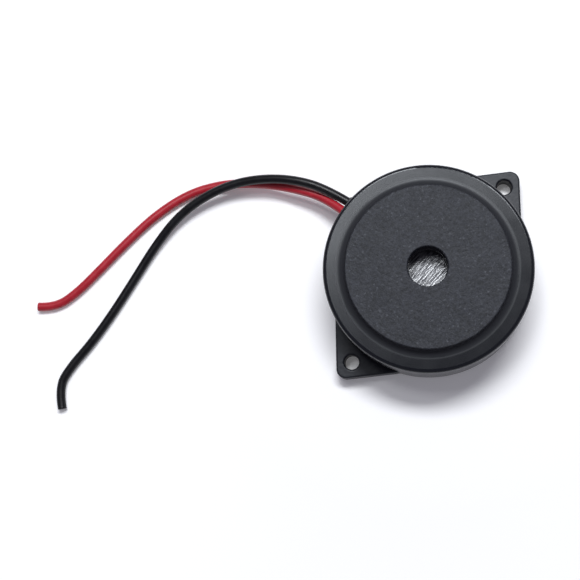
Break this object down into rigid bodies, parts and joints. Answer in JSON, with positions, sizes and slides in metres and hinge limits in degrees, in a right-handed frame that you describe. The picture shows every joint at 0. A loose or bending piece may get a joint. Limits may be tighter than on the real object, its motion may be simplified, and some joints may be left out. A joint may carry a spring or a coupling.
{
  "type": "piezo buzzer",
  "caption": "Round black electronic buzzer with a raised disc, a central sound hole, opposed screw ears at the base and a red and a black flying lead.",
  "frame": {"origin": "middle of the round base, in the plane that the buzzer is screwed to", "axes": "+X runs through the centres of the two screw holes, +Y points to the side that the leads leave from, +Z points out of the sound hole"},
  "size_m": [0.1004, 0.0806, 0.016],
  "materials": {
    "case_plastic": "moulded black ABS, spark-grained on the raised disc, satin on the shoulder",
    "cover_plastic": "moulded black ABS",
    "potting_resin": "cast black epoxy resin",
    "plate_metal": "brushed nickel alloy sheet with fine scratches",
    "plate_adhesive": "milky silicone adhesive",
    "ceramic_disc": "fired unglazed ceramic",
    "silver_film": "fired silver film",
    "board_laminate": "brown phenolic paper laminate",
    "board_copper": "lacquered copper foil",
    "solder": "tin solder",
    "ferrite": "sintered ferrite",
    "enamelled_copper": "enamelled copper wire, wound close",
    "tinned_wire": "tinned copper wire",
    "epoxy_body": "moulded black epoxy",
    "resistor_coat": "beige lacquer with plain colour bands",
    "diode_glass": "orange glass with a dark band",
    "capacitor_dip": "yellow dipped resin",
    "red_fine_wire": "fine insulated wire",
    "blue_fine_wire": "fine insulated wire",
    "black_fine_wire": "fine insulated wire",
    "exit_resin": "black sealing resin",
    "black_insulation": "soft PVC insulation",
    "red_insulation": "soft PVC insulation"
  },
  "bodies": {
    "root": {"housing": "case_plastic", "back_cover": "cover_plastic", "cover_seal": "potting_resin", "sounding_plate": "plate_metal", "plate_glue": "plate_adhesive", "piezo_ceramic": "ceramic_disc", "main_electrode": "silver_film", "feedback_electrode": "silver_film", "circuit_board": "board_laminate", "copper_tracks": "board_copper", "solder_joints": "solder", "board_dots": "solder", "element_dots": "solder", "coil_bobbin": "ferrite", "coil_winding": "enamelled_copper", "coil_pins": "tinned_wire", "transistor": "epoxy_body", "transistor_legs": "tinned_wire", "base_resistor": "resistor_coat", "bias_resistor": "resistor_coat", "resistor_wires": "tinned_wire", "diode": "diode_glass", "diode_wires": "tinned_wire", "capacitor": "capacitor_dip", "capacitor_legs": "tinned_wire", "main_wire": "red_fine_wire", "feedback_wire": "blue_fine_wire", "ground_wire": "black_fine_wire", "lead_seal": "exit_resin", "black_lead_tail": "black_insulation", "red_lead_tail": "red_insulation", "lead_strands": "tinned_wire", "black_lead": "black_insulation", "red_lead": "red_insulation"}
  },
  "joints": []
}
